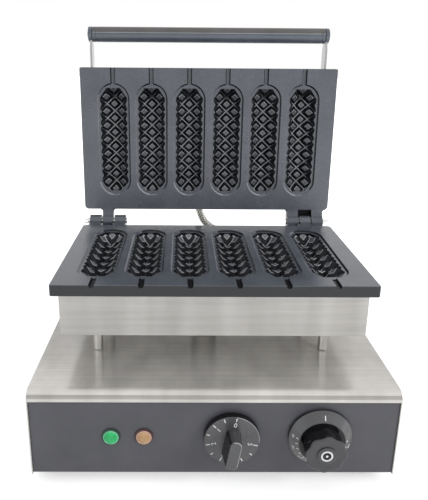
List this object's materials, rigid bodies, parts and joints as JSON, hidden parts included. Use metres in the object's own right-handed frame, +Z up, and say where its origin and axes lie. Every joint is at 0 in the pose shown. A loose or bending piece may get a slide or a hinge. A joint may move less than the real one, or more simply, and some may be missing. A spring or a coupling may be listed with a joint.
{
  "type": "corn dog maker",
  "caption": "Counter-top waffle corn dog maker with an open hinged lid, waffled stick troughs, a bar handle, two knobs and two lamps on a stainless base.",
  "frame": {"origin": "on the table, in the middle of the machine's outer box, at the underside of the feet", "axes": "+Z up; -Y towards the cook, so that the knobs face -Y and the lid opens to +Y; +X to the cook's right"},
  "size_m": [0.342, 0.3136, 0.4261],
  "materials": {
    "stainless": "brushed stainless sheet",
    "panel": "dark satin coated sheet",
    "nonstick": "cast aluminium with a dark satin non-stick coating",
    "knob": "satin moulded plastic with white marks",
    "handle": "satin moulded plastic",
    "green_lens": "translucent green lens",
    "amber_lens": "translucent amber lens, unlit",
    "chrome": "bright plated steel",
    "foot_rubber": "matt black rubber",
    "black_plastic": "moulded black plastic",
    "plated_steel": "zinc plated steel",
    "braid": "braided steel sleeve",
    "heater_tube": "heat-tinted heater tube",
    "insulation": "white mineral wool pad",
    "ceramic": "off-white ceramic and moulded housing",
    "wire": "red silicone insulation",
    "copper": "drawn copper tube"
  },
  "bodies": {
    "base": {"base_cover": "stainless", "front_panel": "panel", "rear_panel": "stainless", "bottom_plate": "stainless", "foot_front_left": "foot_rubber", "foot_front_right": "foot_rubber", "foot_rear_left": "foot_rubber", "foot_rear_right": "foot_rubber", "rear_screw_left": "plated_steel", "rear_screw_right": "plated_steel", "green_lamp_lens": "green_lens", "green_lamp_body": "black_plastic", "amber_lamp_lens": "amber_lens", "amber_lamp_body": "black_plastic", "timer_body": "ceramic", "thermostat_body": "ceramic", "thermostat_capillary": "copper", "terminal_block": "ceramic", "lower_wire_front": "wire", "lower_wire_rear": "wire", "mains_gland": "black_plastic", "support_post_front_left": "chrome", "support_post_front_right": "chrome", "support_post_rear_left": "chrome", "support_post_rear_right": "chrome", "wire_conduit": "stainless", "lower_heater_housing": "stainless", "lower_insulation": "insulation", "lower_heater": "heater_tube", "lower_heater_clamp": "plated_steel", "lower_plate": "nonstick", "hinge_pin_left": "chrome", "hinge_pin_right": "chrome", "lower_lead_gland": "plated_steel", "armoured_lead": "braid"},
    "lid": {"upper_plate": "nonstick", "upper_heater_housing": "stainless", "upper_insulation": "insulation", "upper_heater": "heater_tube", "upper_heater_clamp": "plated_steel", "upper_wire_front": "wire", "upper_wire_rear": "wire", "handle_arm_left": "plated_steel", "handle_arm_right": "plated_steel", "handle_arm_left_screw_1": "plated_steel", "handle_arm_left_screw_2": "plated_steel", "handle_arm_right_screw_1": "plated_steel", "handle_arm_right_screw_2": "plated_steel", "handle_grip": "handle", "handle_cap_left": "handle", "handle_cap_right": "handle", "upper_lead_gland": "plated_steel"},
    "timer_dial": {"timer_knob": "knob", "timer_shaft": "plated_steel"},
    "thermostat_dial": {"thermostat_knob": "knob", "thermostat_knob_cap": "knob", "thermostat_shaft": "plated_steel"}
  },
  "joints": [
    {"name": "lid_hinge", "type": "hinge", "parent": "base", "child": "lid", "pos_m": [0, 0.08075, 0.194], "axis": [1, 0, 0], "range_deg": [0, 91.2], "deforming": ["armoured_lead"]},
    {"name": "timer_turn", "type": "hinge", "parent": "base", "child": "timer_dial", "pos_m": [0.0163, -0.13085, 0.0545], "axis": [0, 1, 0], "range_deg": [-9.4, 257.3]},
    {"name": "thermostat_turn", "type": "hinge", "parent": "base", "child": "thermostat_dial", "pos_m": [0.0985, -0.13085, 0.0545], "axis": [0, 1, 0], "range_deg": [-4, 273]}
  ]
}
